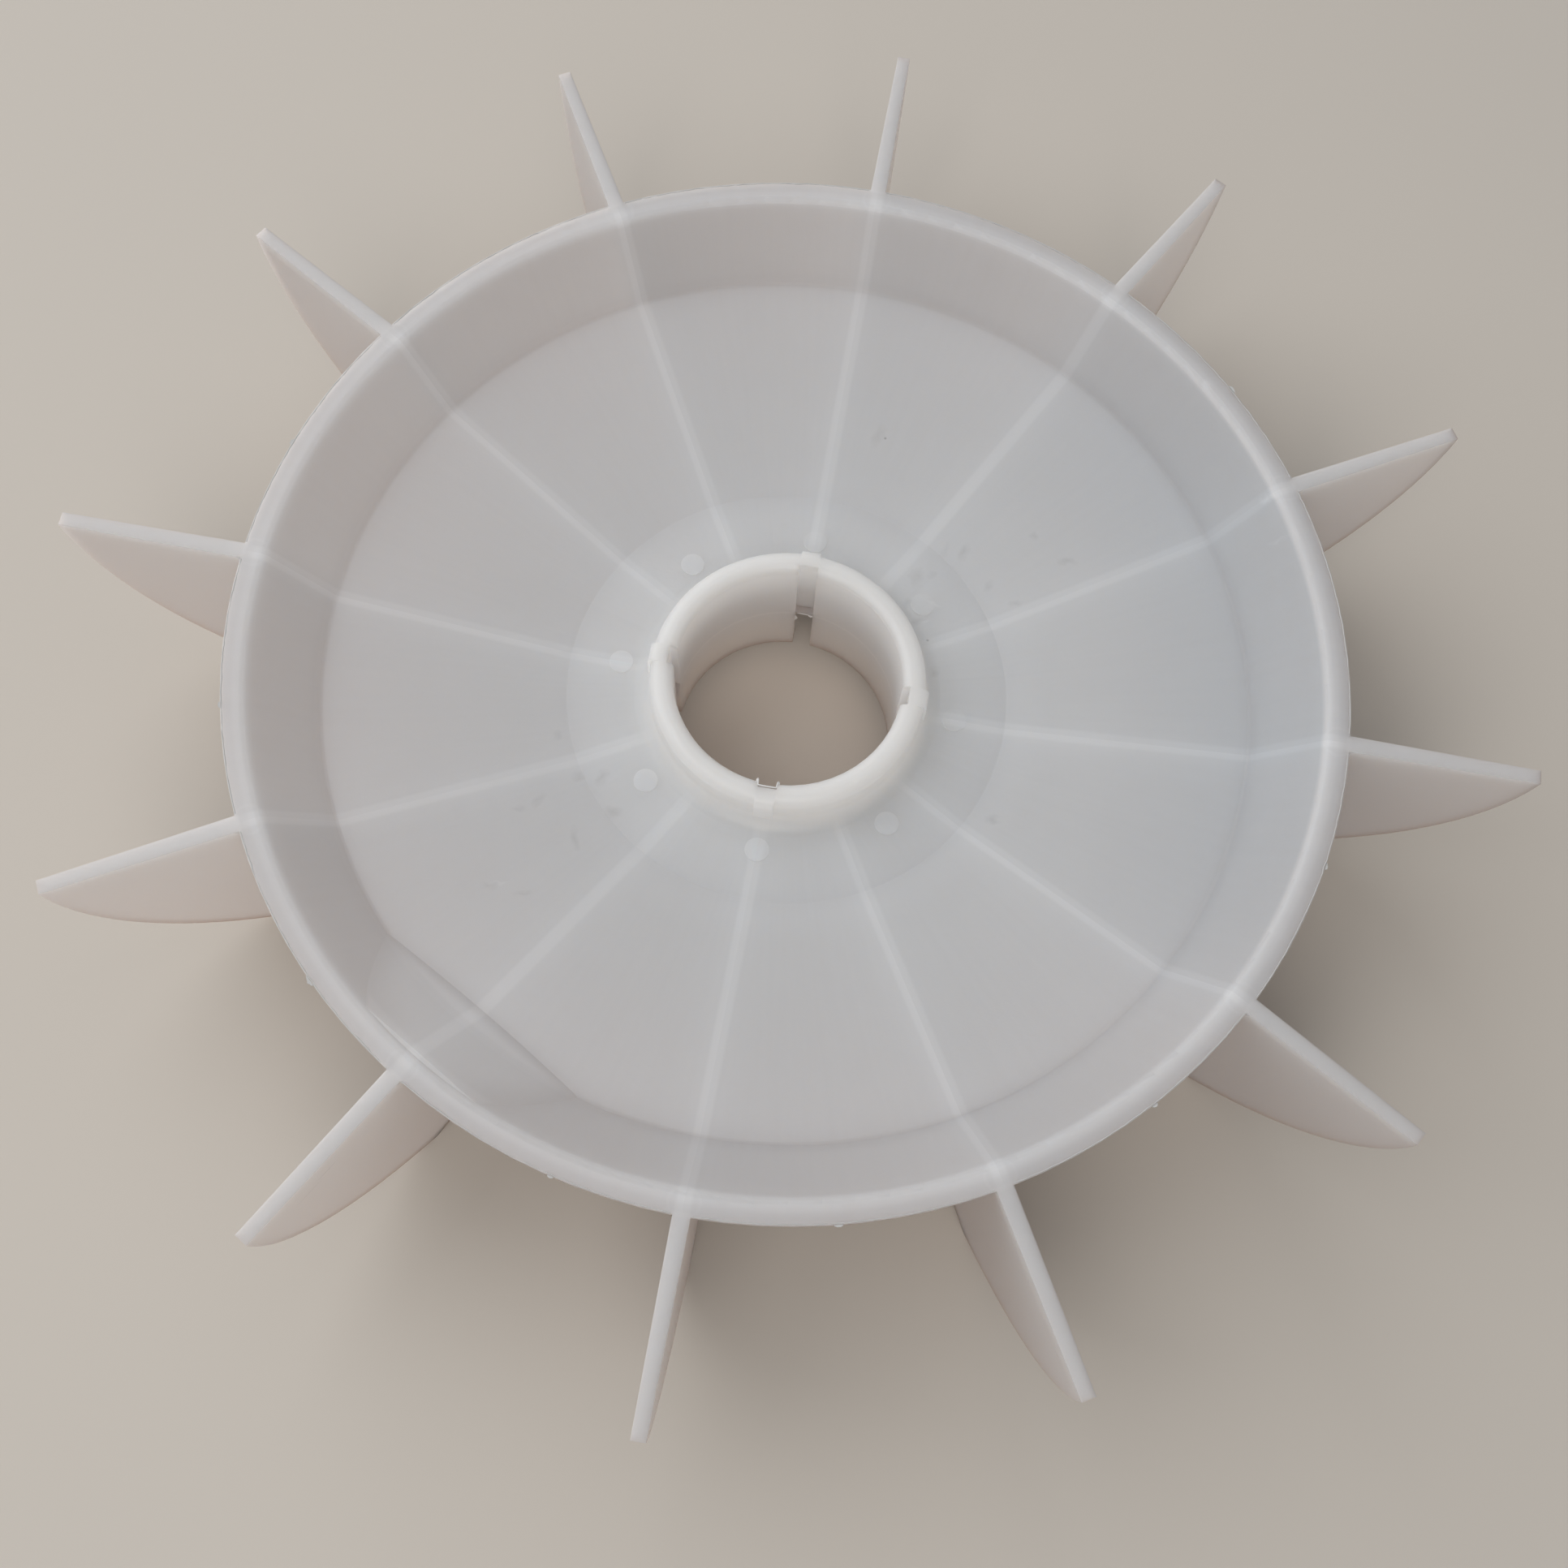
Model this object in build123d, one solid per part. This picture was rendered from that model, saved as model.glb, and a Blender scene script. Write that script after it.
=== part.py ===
from build123d import *
import os

# Cooling fan impeller for a frame size 132 electric motor, moulded in one piece.
# +Z is up, towards the open side of the dish, and the bore runs along Z.
# Z = 0 is the plane that the lower corners of the blades stand on.  Millimetres.

# Blades
blade_count = 12
blade_depth = 45.5         # from the rim's top plane to the lower corner
tip_radius = 119.0         # from the axis to a blade's tip
corner_radius = 91.7       # where the curved outer edge reaches its lower corner
blade_root_rise = 18.5     # lower edge at the hub, above the lower corners
blade_thickness = 2.6      # at the top edge, from the hub out to the rim
tip_thickness = 2.2        # at the top edge, at the tip
blade_draft = 0.4          # degrees on each face, thinner downwards

# Dish
rim_radius = 89.0
rim_width = 3.5            # flat top of the rim, measured along a radius
rim_height = 2.0           # upright outer face of the rim
rim_edge_round = 1.6       # on the edge inside the dish
foot_radius = 76.3         # where the steep wall meets the floor
foot_depth = 11.6          # below the rim's top
foot_fillet = 1.0
flat_radius = 37.1         # inside it the floor is level
flat_depth = 18.5          # below the rim's top
dish_wall = 2.5

# Hub
bore_radius = 19.0
hub_radius = 22.9
hub_top_depth = 11.3       # below the rim's top
hub_length = 29.6
hub_outer_round = 1.8
hub_inner_round = 1.5
hub_foot_fillet = 3.0
collar_radius = 22.0       # lower, split end of the hub, where a ring clamps it
collar_length = 13.0
collar_chamfer = 0.4

# Slots in the bore, which open through the collar, and the ribs behind them
slot_count = 4
slot_width = 3.2
slot_depth = 1.15
web_thickness = 0.6        # closes the lower end of a groove, above the slit
rib_width = 3.2
rib_height = 0.5           # proud of the hub's outside

# Ejector pads round the hub, and the balance pad on the dish's wall
pad_count = 8
pad_radius = 2.0
pad_circle_radius = 28.5
pad_height = 0.2
balance_angle = 240.5      # degrees from +X, anticlockwise
balance_thickness = 2.6    # extra material at the foot of the wall
balance_tilt = 46.0        # degrees of its flat face from the level
balance_top_gap = 0.6      # from its top up to the rim's top

# Heights above the plane that the blades stand on
rim_z = blade_depth
foot_z = rim_z - foot_depth
flat_z = rim_z - flat_depth
hub_top_z = rim_z - hub_top_depth
hub_bottom_z = hub_top_z - hub_length
collar_top_z = hub_bottom_z + collar_length

OVERRUN = 1.0              # how far a cutter runs past what it cuts


def section(*points):
    """Closed face in the X-Z plane, X being the radius."""
    return make_face(Plane.XZ * Polyline(*points, close=True))


def at(face, radius, height):
    """The corner of an X-Z face that lies nearest to a radius and a height."""
    return face.vertices().sort_by_distance((radius, 0, height))[0]


def around(shape, count):
    """Copies of a shape, evenly spaced about the axis."""
    return [Rot(0, 0, turn * 360 / count) * shape for turn in range(count)]


def cavity():
    """Section of the dish's hollow, from the axis out to the inside of the rim."""
    return section(
        (0, rim_z),
        (0, flat_z),
        (flat_radius, flat_z),
        (foot_radius, foot_z),
        (rim_radius - rim_width, rim_z),
    )


def grown_cavity(wall):
    """The hollow's section with a wall added all round it."""
    return offset(cavity(), wall, kind=Kind.INTERSECTION)


def turned_core():
    """Dish and hub as one turned profile: floor, steep wall, rim, thick ring and collar."""
    envelope = section(
        (collar_radius, 0),
        (rim_radius, 0),
        (rim_radius, rim_z),
        (collar_radius, rim_z),
    )
    rim = section(
        (rim_radius - rim_width, rim_z - rim_height),
        (rim_radius, rim_z - rim_height),
        (rim_radius, rim_z),
        (rim_radius - rim_width, rim_z),
    )
    ring = section(
        (bore_radius, hub_bottom_z),
        (collar_radius, hub_bottom_z),
        (collar_radius, collar_top_z),
        (hub_radius, collar_top_z),
        (hub_radius, hub_top_z),
        (bore_radius, hub_top_z),
    )
    profile = (grown_cavity(dish_wall) & envelope) + rim - cavity() + ring
    under_z = flat_z - dish_wall
    profile = fillet(at(profile, hub_radius, flat_z), hub_foot_fillet)
    profile = fillet(at(profile, hub_radius, under_z), foot_fillet)
    profile = fillet(at(profile, foot_radius, foot_z), foot_fillet)
    profile = fillet(at(profile, foot_radius + dish_wall, foot_z - dish_wall), foot_fillet + dish_wall)
    profile = fillet(at(profile, rim_radius - rim_width, rim_z), rim_edge_round)
    profile = fillet(at(profile, hub_radius, hub_top_z), hub_outer_round)
    profile = fillet(at(profile, bore_radius, hub_top_z), hub_inner_round)
    profile = chamfer(at(profile, bore_radius, hub_bottom_z), collar_chamfer)
    profile = chamfer(at(profile, collar_radius, hub_bottom_z), collar_chamfer)
    return revolve(profile, Axis.Z)


def blade():
    """One straight radial blade along +X, drafted downwards, its top edge buried in the dish."""
    root_radius = (bore_radius + slot_depth + hub_radius) / 2
    curved_edge = TangentArc((tip_radius, rim_z), (corner_radius, 0), tangent=(0, -1))
    other_edges = Polyline(
        (corner_radius, 0),
        (root_radius, blade_root_rise),
        (root_radius, rim_z),
        (tip_radius, rim_z),
    )
    side = make_face(Plane.XZ * (curved_edge + other_edges)) - grown_cavity(dish_wall / 2)
    past_tip = tip_radius + blade_depth
    plan = Polyline(
        (0, -blade_thickness / 2),
        (rim_radius, -blade_thickness / 2),
        (tip_radius, -tip_thickness / 2),
        (past_tip, -tip_thickness / 2),
        (past_tip, tip_thickness / 2),
        (tip_radius, tip_thickness / 2),
        (rim_radius, blade_thickness / 2),
        (0, blade_thickness / 2),
        close=True,
    )
    slab = extrude(Pos(0, 0, rim_z) * make_face(plan), amount=-blade_depth, taper=blade_draft)
    return slab & extrude(side, amount=blade_thickness, both=True)


def slot_cutter():
    """Groove down the bore from the hub's top, and the slit through the collar below it."""
    groove = Pos(0, 0, collar_top_z + web_thickness) * Box(
        bore_radius + slot_depth,
        slot_width,
        hub_length - collar_length,
        align=(Align.MIN, Align.CENTER, Align.MIN),
    )
    slit = Pos(0, 0, hub_bottom_z - OVERRUN) * Box(
        hub_radius + OVERRUN,
        slot_width,
        collar_length + OVERRUN,
        align=(Align.MIN, Align.CENTER, Align.MIN),
    )
    return groove + slit


def rib():
    """Low rib on the outside of the hub, behind a groove of the bore, rounded over as the hub is."""
    inside = hub_radius - hub_outer_round
    outside = hub_radius + rib_height
    side = section(
        (inside, flat_z - dish_wall),
        (outside, flat_z - dish_wall),
        (outside, hub_top_z),
        (inside, hub_top_z),
    )
    side = fillet(at(side, outside, hub_top_z), hub_outer_round)
    return extrude(side, amount=rib_width / 2, both=True)


def ejector_pad():
    """Shallow round pad that an ejector pin leaves on the floor."""
    return Pos(pad_circle_radius, 0, flat_z - pad_height) * Cylinder(
        pad_radius,
        2 * pad_height,
        align=(Align.CENTER, Align.CENTER, Align.MIN),
    )


def balance_pad():
    """Flat-faced thickening that balances the fan, at the foot of the dish's wall."""
    hollow = revolve(cavity(), Axis.Z)
    block = Box(
        rim_radius,
        2 * rim_radius,
        2 * rim_radius,
        align=(Align.MIN, Align.CENTER, Align.CENTER),
    )
    layer = Pos(0, 0, rim_z - balance_top_gap) * Box(
        2 * rim_radius,
        2 * rim_radius,
        rim_z,
        align=(Align.CENTER, Align.CENTER, Align.MAX),
    )
    face_place = Pos(foot_radius - balance_thickness, 0, foot_z) * Rot(0, 90 - balance_tilt, 0)
    return Rot(0, 0, balance_angle) * (hollow & layer & (face_place * block))


def impeller():
    """The whole moulding as one solid."""
    added = around(blade(), blade_count) + around(rib(), slot_count)
    added += around(ejector_pad(), pad_count) + [balance_pad()]
    return turned_core() + added - around(slot_cutter(), slot_count)


os.makedirs("parts", exist_ok=True)
export_step(impeller(), "parts/impeller.step")
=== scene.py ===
# %% [markdown]
# # A moulded fan impeller, dressed around its solid
#
# The real object is the cooling fan of an electric motor: one injection moulding in milky polypropylene,
# with a shallow dish on top and twelve straight blades under it. The solid model already has every form of
# it, so this script keeps that solid, gives it its plastic, and adds what a mould and a bench leave on such
# a part.
# %% Load the frame
import math

import bmesh
import bpy
from mathutils import Euler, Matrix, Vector
from mathutils import noise as value_noise


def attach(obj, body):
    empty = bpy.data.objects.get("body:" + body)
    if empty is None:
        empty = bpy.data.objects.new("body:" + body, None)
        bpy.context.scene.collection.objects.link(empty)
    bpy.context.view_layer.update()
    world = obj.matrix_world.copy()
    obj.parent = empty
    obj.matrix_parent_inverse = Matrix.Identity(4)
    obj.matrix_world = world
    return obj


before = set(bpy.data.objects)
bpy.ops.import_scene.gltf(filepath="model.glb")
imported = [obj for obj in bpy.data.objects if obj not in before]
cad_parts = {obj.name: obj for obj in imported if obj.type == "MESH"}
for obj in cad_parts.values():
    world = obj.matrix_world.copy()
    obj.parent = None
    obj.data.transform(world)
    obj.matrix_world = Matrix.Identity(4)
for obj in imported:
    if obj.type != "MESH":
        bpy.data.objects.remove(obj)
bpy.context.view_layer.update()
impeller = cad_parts["impeller"]
print("triangles of the moulding:", len(impeller.data.polygons))

# %% [markdown]
# ## Sizes
#
# The same sizes that shape the solid, in metres. The marks and the plastic's patterns are placed from them,
# so they stay on the rim, the floor and the hub.
# %% Sizes of the moulding
MM = 0.001
RIM_RADIUS = 89.0 * MM
RIM_INSIDE = 85.5 * MM
RIM_TOP = 45.5 * MM
FOOT_RADIUS = 76.3 * MM
FOOT_TOP = 33.9 * MM
FLAT_RADIUS = 37.1 * MM
FLAT_TOP = 27.0 * MM
HUB_TOP = 34.2 * MM
BORE_RADIUS = 19.0 * MM
GROOVE_DEPTH = 1.15 * MM
GROOVE_WIDTH = 3.2 * MM
COLLAR_TOP = 17.6 * MM
TIP_RADIUS = 119.0 * MM
BLADE_COUNT = 12
print("rim, mm across:", 2 * RIM_RADIUS / MM)

# %% [markdown]
# ## Camera
#
# The fan lies on its blades and is seen from above, leaning back about twenty degrees, from close by. The
# camera comes first, because every later choice is judged through it.
# %% Camera
CAMERA_PLACE = (0.01032, -0.10751, 0.28591)
CAMERA_TURN = (19.3567, -1.7545, 10.0544)
CAMERA_LENS = 38.113
CAMERA_SENSOR = 36.0
CAMERA_SHIFT = 0.0006
CAMERA_NEAREST = 0.01
camera_data = bpy.data.cameras.new("camera")
camera_data.lens = CAMERA_LENS
camera_data.sensor_width = CAMERA_SENSOR
camera_data.shift_x = CAMERA_SHIFT
camera_data.clip_start = CAMERA_NEAREST
camera = bpy.data.objects.new("camera", camera_data)
camera.location = CAMERA_PLACE
camera.rotation_euler = Euler([math.radians(a) for a in CAMERA_TURN])
bpy.context.scene.collection.objects.link(camera)
bpy.context.scene.camera = camera
print("camera height, mm:", round(CAMERA_PLACE[2] / MM, 1))

# %% [markdown]
# ## Small helpers for node trees
#
# Patterns on a turned part are arithmetic on its radius and height. These helpers add one node each and
# hand back its output, so that the arithmetic below reads from top to bottom.
# %% Node helpers


def feed(tree, socket, value):
    """Link value into socket if it is a socket, or else set it as a constant."""
    if isinstance(value, bpy.types.NodeSocket):
        tree.links.new(value, socket)
    else:
        socket.default_value = value


def calc(tree, operation, *values):
    """One Math node."""
    node = tree.nodes.new("ShaderNodeMath")
    node.operation = operation
    for socket, value in zip(node.inputs, values):
        feed(tree, socket, value)
    return node.outputs[0]


def product(tree, *values):
    """Several values multiplied together, with one Math node for each after the first."""
    result = values[0]
    for value in values[1:]:
        result = calc(tree, "MULTIPLY", result, value)
    return result


def vector_calc(tree, operation, *values, scale=None):
    """One Vector Math node; only SCALE takes a scale, and LENGTH and DOT_PRODUCT give a number."""
    node = tree.nodes.new("ShaderNodeVectorMath")
    node.operation = operation
    for socket, value in zip(node.inputs, values):
        feed(tree, socket, value)
    if scale is not None:
        feed(tree, node.inputs["Scale"], scale)
    return node.outputs["Value" if operation in ("LENGTH", "DOT_PRODUCT") else "Vector"]


def map_range(tree, value, start, end, low, high, curve):
    """One Map Range node: value goes from low at start to high at end, straight or along a curve."""
    node = tree.nodes.new("ShaderNodeMapRange")
    node.interpolation_type = curve
    given = {"Value": value, "From Min": start, "From Max": end, "To Min": low, "To Max": high}
    for name, setting in given.items():
        feed(tree, node.inputs[name], setting)
    return node.outputs["Result"]


def ramp(tree, value, start, end, low=0.0, high=1.0):
    """Smooth step of value from low at start to high at end; start may be the larger one."""
    return map_range(tree, value, start, end, low, high, "SMOOTHSTEP")


def band(tree, value, centre, half_width, soft):
    """1 within half_width of centre, fading to 0 over soft."""
    away = calc(tree, "ABSOLUTE", calc(tree, "SUBTRACT", value, centre))
    return ramp(tree, away, half_width + soft, half_width)


def mix_colour(tree, share, first, second, blend="MIX"):
    """One Mix node for colours: first where share is 0, and second over it where share is 1."""
    node = tree.nodes.new("ShaderNodeMix")
    node.data_type = "RGBA"
    node.blend_type = blend
    for place, value in ((0, share), (6, first), (7, second)):
        feed(tree, node.inputs[place], value)
    return node.outputs[2]


def shader_group(name, inputs, outputs):
    """An empty shader node group with float or vector sockets, and its two end nodes."""
    tree = bpy.data.node_groups.new(name, "ShaderNodeTree")
    for label, kind in inputs:
        tree.interface.new_socket(label, in_out="INPUT", socket_type=kind)
    for label, kind in outputs:
        tree.interface.new_socket(label, in_out="OUTPUT", socket_type=kind)
    return tree, tree.nodes.new("NodeGroupInput"), tree.nodes.new("NodeGroupOutput")


def place_group(tree, group, **values):
    """One use of a group in a tree, with its inputs set or linked."""
    node = tree.nodes.new("ShaderNodeGroup")
    node.node_tree = group
    for label, value in values.items():
        feed(tree, node.inputs[label.replace("_", " ")], value)
    return node


print("node helpers: feed, calc, product, vector_calc, map_range, ramp, band, mix_colour")
print("group helpers: shader_group, place_group")

# %% [markdown]
# ## Light and floor
#
# A milky part looks right in broad, soft light. One large panel stands at the upper left like a window and
# does most of the work, an even sky opens the shadows, and a smaller panel fills from the viewer's side.
# The floor is plain and pale to the eye. To the plastic it is a dim warm board, because a brightly lit
# floor would shine up through the thin dish and wash the blades out. Far from the fan it passes into the
# backdrop, so that no edge shows on the horizon.
# %% What the eye sees


def seen_share(tree):
    """1 for rays that show the background, straight or in gloss and glass, and 0 for rays of light."""
    path = tree.nodes.new("ShaderNodeLightPath")
    straight_or_gloss = calc(tree, "MAXIMUM", path.outputs["Is Camera Ray"], path.outputs["Is Glossy Ray"])
    return calc(tree, "MAXIMUM", straight_or_gloss, path.outputs["Is Transmission Ray"])


print("ray kinds that see the background: camera, glossy, transmission")


# %% Sky
SKY_COLOUR = (0.96, 0.98, 1.0, 1)
SKY_STRENGTH = 0.29
BACKDROP_COLOUR = (0.74, 0.70, 0.66, 1)
world = bpy.data.worlds.new("studio")
bpy.context.scene.world = world
world.use_nodes = True
sky_nodes, sky_links = world.node_tree.nodes, world.node_tree.links
sky_nodes.clear()
sky_out = sky_nodes.new("ShaderNodeOutputWorld")
sky = sky_nodes.new("ShaderNodeBackground")
sky.inputs["Color"].default_value = SKY_COLOUR
sky.inputs["Strength"].default_value = SKY_STRENGTH
backdrop = sky_nodes.new("ShaderNodeBackground")
backdrop.inputs["Color"].default_value = BACKDROP_COLOUR
choose = sky_nodes.new("ShaderNodeMixShader")
sky_links.new(seen_share(world.node_tree), choose.inputs["Fac"])
sky_links.new(sky.outputs["Background"], choose.inputs[1])
sky_links.new(backdrop.outputs["Background"], choose.inputs[2])
sky_links.new(choose.outputs["Shader"], sky_out.inputs["Surface"])
print("sky strength:", SKY_STRENGTH)


# %% Lamps
def soft_panel(name, place, size, watts, colour):
    """A square lamp at place that faces the fan."""
    lamp = bpy.data.lights.new(name, "AREA")
    lamp.size = size
    lamp.energy = watts
    lamp.color = colour
    holder = bpy.data.objects.new(name, lamp)
    holder.location = place
    holder.rotation_euler = (-Vector(place)).to_track_quat("-Z", "Y").to_euler()
    bpy.context.scene.collection.objects.link(holder)


WINDOW = {"place": (-0.80, 0.40, 0.80), "size": 1.6, "watts": 10.2, "colour": (0.98, 0.99, 1.0)}
FILL = {"place": (0.00, -0.58, 0.85), "size": 0.6, "watts": 2.7, "colour": (1.0, 0.965, 0.925)}
soft_panel("window_panel", **WINDOW)
soft_panel("fill_panel", **FILL)

# %% Floor
FLOOR_REACH = 4.0
FLOOR_SEEN = (0.66, 0.61, 0.55, 1)
FLOOR_FELT = (0.40, 0.25, 0.165, 1)
FLOOR_FADE = (0.3, 1.1)
FLOOR_ROUGHNESS = 0.9
FLOOR_SPECULAR = 0.2
FLOOR_CORNERS = 96
floor_mesh = bpy.data.meshes.new("floor")
floor_shape = bmesh.new()
bmesh.ops.create_circle(floor_shape, cap_ends=True, radius=FLOOR_REACH, segments=FLOOR_CORNERS)
floor_shape.to_mesh(floor_mesh)
floor_shape.free()
floor = bpy.data.objects.new("floor", floor_mesh)
bpy.context.scene.collection.objects.link(floor)
floor_paint = bpy.data.materials.new("floor_paint")
floor_paint.use_nodes = True
floor_tree = floor_paint.node_tree
floor_shader = floor_tree.nodes["Principled BSDF"]
floor_shader.inputs["Roughness"].default_value = FLOOR_ROUGHNESS
floor_shader.inputs["Specular IOR Level"].default_value = FLOOR_SPECULAR
eye_share = seen_share(floor_tree)
floor_tone = mix_colour(floor_tree, eye_share, FLOOR_FELT, FLOOR_SEEN)
feed(floor_tree, floor_shader.inputs["Base Color"], floor_tone)
floor_place = floor_tree.nodes.new("ShaderNodeTexCoord")
far_away = ramp(floor_tree, vector_calc(floor_tree, "LENGTH", floor_place.outputs["Object"]), *FLOOR_FADE)
far_floor = floor_tree.nodes.new("ShaderNodeEmission")
far_floor.inputs["Color"].default_value = BACKDROP_COLOUR
near_or_far = floor_tree.nodes.new("ShaderNodeMixShader")
floor_tree.links.new(product(floor_tree, far_away, eye_share), near_or_far.inputs["Fac"])
floor_tree.links.new(floor_shader.outputs["BSDF"], near_or_far.inputs[1])
floor_tree.links.new(far_floor.outputs["Emission"], near_or_far.inputs[2])
floor_tree.links.new(near_or_far.outputs["Shader"], floor_tree.nodes["Material Output"].inputs["Surface"])
floor_paint.cycles.emission_sampling = "NONE"
floor_mesh.materials.append(floor_paint)
print("floor seen and felt:", FLOOR_SEEN[:3], FLOOR_FELT[:3])

# %% [markdown]
# ## Where on the moulding a point lies
#
# Every pattern asks the same questions: how far from the axis, how high, how far from the nearest blade's
# middle, and how far above the dish's turned surface. One group answers them, in millimetres, from Object
# coordinates. The part is twelvefold, so the angle is wrapped into one sector before it becomes a distance.
# %% Group: places on the moulding
FLOAT, VECTOR = "NodeSocketFloat", "NodeSocketVector"
places, _, places_out = shader_group(
    "places_on_the_moulding",
    [],
    [
        ("Place", VECTOR),
        ("Radius", FLOAT),
        ("Height", FLOAT),
        ("Angle", FLOAT),
        ("Beside Blade", FLOAT),
        ("Above Dish", FLOAT),
    ],
)
object_place = places.nodes.new("ShaderNodeTexCoord").outputs["Object"]
in_mm = vector_calc(places, "SCALE", object_place, scale=1 / MM)
split = places.nodes.new("ShaderNodeSeparateXYZ")
places.links.new(in_mm, split.inputs[0])
x_mm, y_mm, z_mm = split.outputs
radius_squared = calc(places, "ADD", product(places, x_mm, x_mm), product(places, y_mm, y_mm))
radius_mm = calc(places, "SQRT", radius_squared)
angle = calc(places, "ARCTAN2", y_mm, x_mm)
sector = 2 * math.pi / BLADE_COUNT
wrapped = calc(places, "WRAP", angle, sector / 2, -sector / 2)
beside = product(places, radius_mm, calc(places, "SINE", wrapped))


def straight_rise(value, start, end, rise):
    """A straight climb from 0 at start to rise at end, level outside them."""
    return map_range(places, value, start, end, 0.0, rise, "LINEAR")


cone = straight_rise(radius_mm, FLAT_RADIUS / MM, FOOT_RADIUS / MM, (FOOT_TOP - FLAT_TOP) / MM)
wall = straight_rise(radius_mm, FOOT_RADIUS / MM, RIM_INSIDE / MM, (RIM_TOP - FOOT_TOP) / MM)
surface = calc(places, "ADD", calc(places, "ADD", cone, wall), FLAT_TOP / MM)
above = calc(places, "SUBTRACT", z_mm, surface)
answers = (in_mm, radius_mm, z_mm, angle, beside, above)
for socket, answer in zip(places_out.inputs, answers):
    places.links.new(answer, socket)
print("places group:", len(places.nodes), "nodes")

# %% [markdown]
# ## Blades that show through
#
# Under the dish each blade joins the floor, and the plastic there is as thick as the blade is deep, so it
# sends more light back. A crisp pale line runs over the blade. Beside it a glow of painted light fades away,
# standing in for light that leaks off the blade's face, and it is painted stronger on the side that faces
# the window. Scattering alone blurs such a line away at this wall thickness, so it is drawn as a small
# change of colour.
# %% Group: lines over the blades
GLOW_REACH = 4.2
WINDOW_GLOW_TURN = math.radians(30)
WINDOW_GLOW_SHARE = 0.55
LINE_EDGE = (1.45, 0.75)
lines, lines_in, lines_out = shader_group(
    "lines_over_the_blades",
    [("Radius", FLOAT), ("Angle", FLOAT), ("Beside Blade", FLOAT), ("Above Dish", FLOAT)],
    [("Line", FLOAT), ("Glow", FLOAT)],
)
away = calc(lines, "ABSOLUTE", lines_in.outputs["Beside Blade"])
on_top = ramp(lines, lines_in.outputs["Above Dish"], -1.6, -0.6)
off_hub = ramp(lines, lines_in.outputs["Radius"], 23.5, 28.5)
in_rim = ramp(lines, lines_in.outputs["Radius"], 89.5, 86.5)
shown = product(lines, on_top, off_hub, in_rim)
core = ramp(lines, away, *LINE_EDGE)
fade = calc(lines, "EXPONENT", calc(lines, "DIVIDE", away, -GLOW_REACH))
# painted light: the glow beside each blade is drawn stronger on the side that faces the window
facing_window = calc(lines, "COSINE", calc(lines, "ADD", lines_in.outputs["Angle"], WINDOW_GLOW_TURN))
side = calc(lines, "SIGN", lines_in.outputs["Beside Blade"])
window_glow_lean = calc(lines, "ADD", product(lines, facing_window, side, -WINDOW_GLOW_SHARE), 1.0)
lines.links.new(product(lines, core, shown), lines_out.inputs["Line"])
lines.links.new(product(lines, fade, window_glow_lean, shown), lines_out.inputs["Glow"])
print("glow fades over, mm:", GLOW_REACH)

# %% [markdown]
# ## Marks from handling
#
# Thumbs and other parts have left small dull spots on the floor, thickest on two sides of the hub. A spot
# is a soft ellipse with an uneven edge, and a table places each one. This first group draws a spot in all
# three directions, for the scuffs on the face of a blade.
# %% Group: one soft spot
SPOT_REACH = 1.3
spot, spot_in, spot_out = shader_group(
    "soft_spot",
    [("Place", VECTOR), ("Centre", VECTOR), ("Turn", VECTOR), ("Half Size", VECTOR), ("Strength", FLOAT)],
    [("Mask", FLOAT)],
)
inward = spot.nodes.new("ShaderNodeMapping")
inward.vector_type = "TEXTURE"
SPOT_PLACES = {"Vector": "Place", "Location": "Centre", "Rotation": "Turn", "Scale": "Half Size"}
for name, given in SPOT_PLACES.items():
    spot.links.new(spot_in.outputs[given], inward.inputs[name])
fall = calc(spot, "SUBTRACT", SPOT_REACH, vector_calc(spot, "LENGTH", inward.outputs[0]))
spot.links.new(product(spot, fall, spot_in.outputs["Strength"]), spot_out.inputs["Mask"])
print("spot group:", len(spot.nodes), "nodes")

# %% Table of marks: x, y, half length, half width in mm, turn in degrees, strength
DULL_MARKS = [
    (7.5, 50.1, 2.0, 0.9, 70, 0.6),
    (37.2, 35.6, 0.8, 0.7, 0, 0.7),
    (25.7, 31.3, 1.6, 0.8, 75, 0.9),
    (22.5, 31.2, 1.4, 0.7, 80, 0.5),
    (43.5, 31.6, 1.5, 0.6, 5, 0.8),
    (30.9, 25.6, 1.0, 0.8, 60, 0.7),
    (36.0, 23.1, 1.1, 0.6, 10, 0.7),
    (18.4, 25.3, 1.6, 1.2, 80, 1.0),
    (21.0, 26.3, 0.9, 0.7, 60, 0.6),
    (17.5, 20.0, 1.0, 0.6, 70, 0.6),
    (19.7, 16.8, 1.4, 0.7, 45, 0.7),
    (24.0, 8.0, 0.9, 0.7, 80, 0.8),
    (37.1, -16.5, 1.1, 0.8, 0, 1.0),
    (-36.0, -15.1, 0.9, 0.7, 90, 0.6),
    (-31.1, -21.6, 0.9, 0.8, 20, 0.8),
    (-27.3, -20.9, 1.4, 1.0, 70, 1.0),
    (-36.5, -27.1, 1.5, 0.7, 65, 0.7),
    (-39.2, -29.3, 1.2, 0.6, 10, 0.6),
    (-24.3, -26.6, 1.4, 1.0, 10, 1.0),
    (-29.2, -32.5, 1.9, 0.7, -70, 0.8),
    (-40.5, -43.4, 1.1, 0.6, 0, 0.5),
    (-35.0, -43.5, 1.4, 0.6, 10, 0.6),
]
PALE_MARKS = [
    (22.1, 20.6, 1.2, 0.4, -20, 0.8),
    (20.8, 17.0, 1.0, 0.3, 30, 0.7),
    (-38.8, -42.5, 1.5, 0.3, 10, 0.5),
    (73.0, 41.9, 0.8, 0.7, 0, 1.4),
    (60.7, 61.0, 0.9, 0.5, -50, 1.0),
    (75.7, 35.0, 1.1, 0.4, 20, 0.6),
]
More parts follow.
